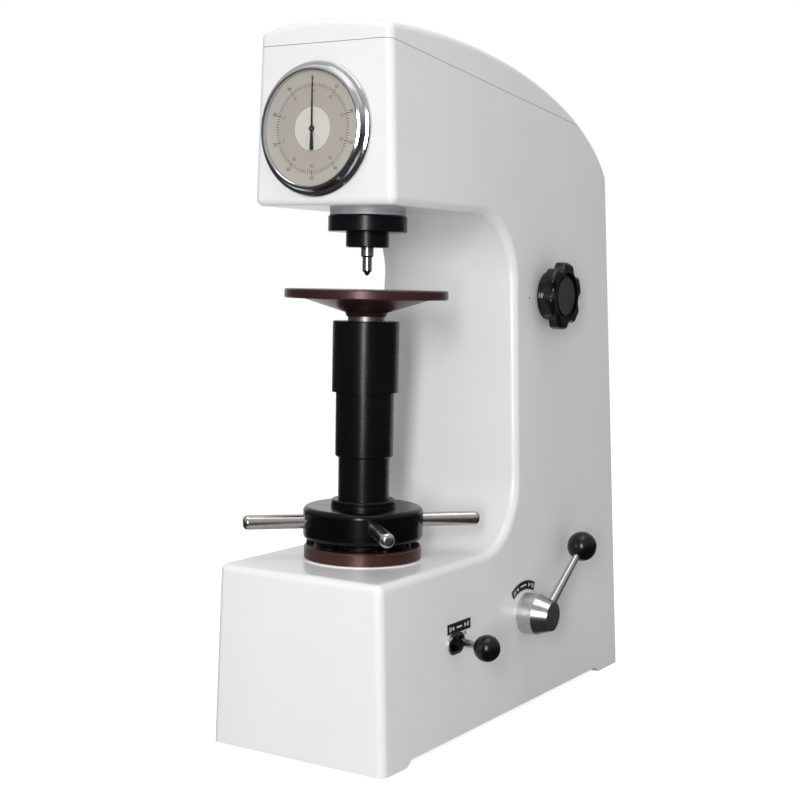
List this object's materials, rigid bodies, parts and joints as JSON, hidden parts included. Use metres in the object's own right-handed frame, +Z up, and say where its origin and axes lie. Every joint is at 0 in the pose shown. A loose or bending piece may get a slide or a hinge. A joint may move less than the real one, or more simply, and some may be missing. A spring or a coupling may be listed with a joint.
{
  "type": "bench hardness tester",
  "caption": "Lever-loaded bench hardness tester: hollow C-shaped casting with a front dial gauge, spindle and indenter over a screw-raised anvil, and side control knobs.",
  "frame": {"origin": "on the test axis (the axis of indenter and elevating screw) at the bench plane", "axes": "+Z up along the test axis, -Y towards the dial and the user, +X towards the side with the control knobs"},
  "size_m": [0.2226, 0.4728, 0.6315],
  "materials": {
    "cream_paint": "satin off-white enamel on cast iron",
    "bright_steel": "polished",
    "plain_steel": "ground",
    "black_oxide": "satin black finish on steel",
    "black_gloss": "gloss black enamel on cast iron",
    "brown_enamel": "gloss dark red-brown enamel on cast iron",
    "chrome_plate": "polished",
    "diamond": "ground diamond",
    "clear_glass": "flat clear glass",
    "dial_paint": "printed dial",
    "black_hand": "black lacquer",
    "brass": "machined",
    "zinc": "cast",
    "cast_iron": "machined",
    "black_plastic": "moulded phenolic",
    "grey_plastic": "matt disc"
  },
  "bodies": {
    "frame": {"body_casting": "cream_paint", "top_cover": "cream_paint", "rear_cover": "cream_paint", "rear_cover_screws": "bright_steel", "spindle_bush": "plain_steel", "spindle_collar": "bright_steel", "spindle_guard": "black_oxide", "thrust_bearing": "plain_steel", "base_flange": "brown_enamel", "flange_screws": "brown_enamel", "screw_guide": "plain_steel", "gauge_case": "zinc", "dial_centre": "dial_paint", "lever_fulcrum": "plain_steel", "indicator_bracket": "plain_steel", "dashpot_cylinder": "cast_iron", "unloading_collar": "plain_steel", "slot_liner": "chrome_plate"},
    "handwheel": {"handwheel_hub": "black_gloss", "handwheel_rods": "bright_steel", "sleeve_collar": "black_oxide", "lower_sleeve": "black_oxide"},
    "screw": {"elevating_screw": "plain_steel", "anvil": "brown_enamel", "upper_sleeve": "black_oxide"},
    "sleeve_slider": {"middle_sleeve": "black_oxide"},
    "hanger": {"weight_hanger": "plain_steel", "weights": "cast_iron", "dashpot_piston": "cast_iron"},
    "load_lever": {"main_lever": "plain_steel", "lever_knives": "plain_steel", "poise_weight": "cast_iron"},
    "spindle_unit": {"spindle": "plain_steel", "spindle_nose": "black_oxide", "nose_set_screws": "plain_steel", "indenter_holder": "plain_steel", "indenter_tip": "diamond"},
    "indicator": {"indicator_lever": "plain_steel"},
    "rack": {"gauge_rack": "plain_steel"},
    "pointer": {"long_pointer": "black_hand", "centre_pinion": "plain_steel"},
    "counter": {"small_pointer": "black_hand", "counter_gear": "brass"},
    "unloader": {"unloading_hub": "bright_steel", "unloading_rod": "bright_steel", "unloading_ball": "black_plastic", "unloading_shaft": "plain_steel", "lifting_cam": "plain_steel"},
    "lifter": {"lifting_rod": "plain_steel"},
    "selector": {"selector_knob": "black_plastic", "selector_cap": "grey_plastic", "selector_shaft": "plain_steel", "selector_cams": "plain_steel"},
    "loader": {"loading_rod": "bright_steel", "loading_ball": "black_plastic", "loading_latch": "bright_steel"},
    "bezel_unit": {"bezel": "chrome_plate", "crystal": "clear_glass", "dial_face": "dial_paint"}
  },
  "joints": [
    {"name": "handwheel_turn", "type": "hinge", "parent": "frame", "child": "handwheel", "pos_m": [0, 0, 0.195], "axis": [0, 0, -1], "range_deg": [-6048, 828]},
    {"name": "screw_travel", "type": "slide", "parent": "frame", "child": "screw", "axis": [0, 0, 1], "range_m": [-0.084, 0.0115]},
    {"name": "middle_sleeve_travel", "type": "slide", "parent": "frame", "child": "sleeve_slider", "axis": [0, 0, 1], "range_m": [-0.03529, 0.00484]},
    {"name": "hanger_lift", "type": "slide", "parent": "frame", "child": "hanger", "axis": [0, 0, 1], "range_m": [0, 0.012]},
    {"name": "load_lever_pivot", "type": "hinge", "parent": "frame", "child": "load_lever", "pos_m": [0, -0.014, 0.54], "axis": [1, 0, 0], "range_deg": [0, 2.46]},
    {"name": "spindle_travel", "type": "slide", "parent": "frame", "child": "spindle_unit", "axis": [0, 0, 1], "range_m": [0, 0.000601]},
    {"name": "indicator_pivot", "type": "hinge", "parent": "frame", "child": "indicator", "pos_m": [-0.017, 0.0125, 0.5082], "axis": [-1, 0, 0], "range_deg": [0, 2.75]},
    {"name": "rack_travel", "type": "slide", "parent": "frame", "child": "rack", "axis": [0, 0, 1], "range_m": [0, 0.003]},
    {"name": "long_pointer_turn", "type": "hinge", "parent": "frame", "child": "pointer", "pos_m": [-0.006, -0.071, 0.5375], "axis": [0, 1, 0], "range_deg": [0, 1080.1]},
    {"name": "counter_turn", "type": "hinge", "parent": "frame", "child": "counter", "pos_m": [-0.006, -0.071, 0.5265], "axis": [0, -1, 0], "range_deg": [0, 108.01]},
    {"name": "unloading_lever_turn", "type": "hinge", "parent": "frame", "child": "unloader", "pos_m": [0, 0.155, 0.094], "axis": [1, 0, 0], "range_deg": [0, 85]},
    {"name": "lifting_rod_travel", "type": "slide", "parent": "frame", "child": "lifter", "axis": [0, 0, 1], "range_m": [0, 0.012]},
    {"name": "load_selector_turn", "type": "hinge", "parent": "frame", "child": "selector", "pos_m": [0, 0.205, 0.4], "axis": [1, 0, 0], "range_deg": [0, 240]},
    {"name": "loading_lever_swing", "type": "hinge", "parent": "frame", "child": "loader", "pos_m": [0.057, 0.034, 0.091], "axis": [0, 0, -1], "range_deg": [0, 20]},
    {"name": "bezel_turn", "type": "hinge", "parent": "frame", "child": "bezel_unit", "pos_m": [-0.006, -0.071, 0.5375], "axis": [0, 1, 0], "continuous": true}
  ],
  "couplings": [
    {"joint": "screw_travel", "follows": "handwheel_turn", "m_per_rad": 0.00079577},
    {"joint": "middle_sleeve_travel", "follows": "handwheel_turn", "m_per_rad": 0.00033423},
    {"joint": "load_lever_pivot", "follows": "hanger_lift", "rad_per_m": 3.5714},
    {"joint": "spindle_travel", "follows": "hanger_lift", "ratio": 0.05},
    {"joint": "indicator_pivot", "follows": "hanger_lift", "rad_per_m": 4},
    {"joint": "rack_travel", "follows": "hanger_lift", "ratio": 0.25},
    {"joint": "long_pointer_turn", "follows": "hanger_lift", "rad_per_m": 1570.8},
    {"joint": "counter_turn", "follows": "hanger_lift", "rad_per_m": 157.08},
    {"joint": "unloading_lever_turn", "follows": "hanger_lift", "rad_per_m": 123.63},
    {"joint": "lifting_rod_travel", "follows": "hanger_lift", "ratio": 1}
  ]
}
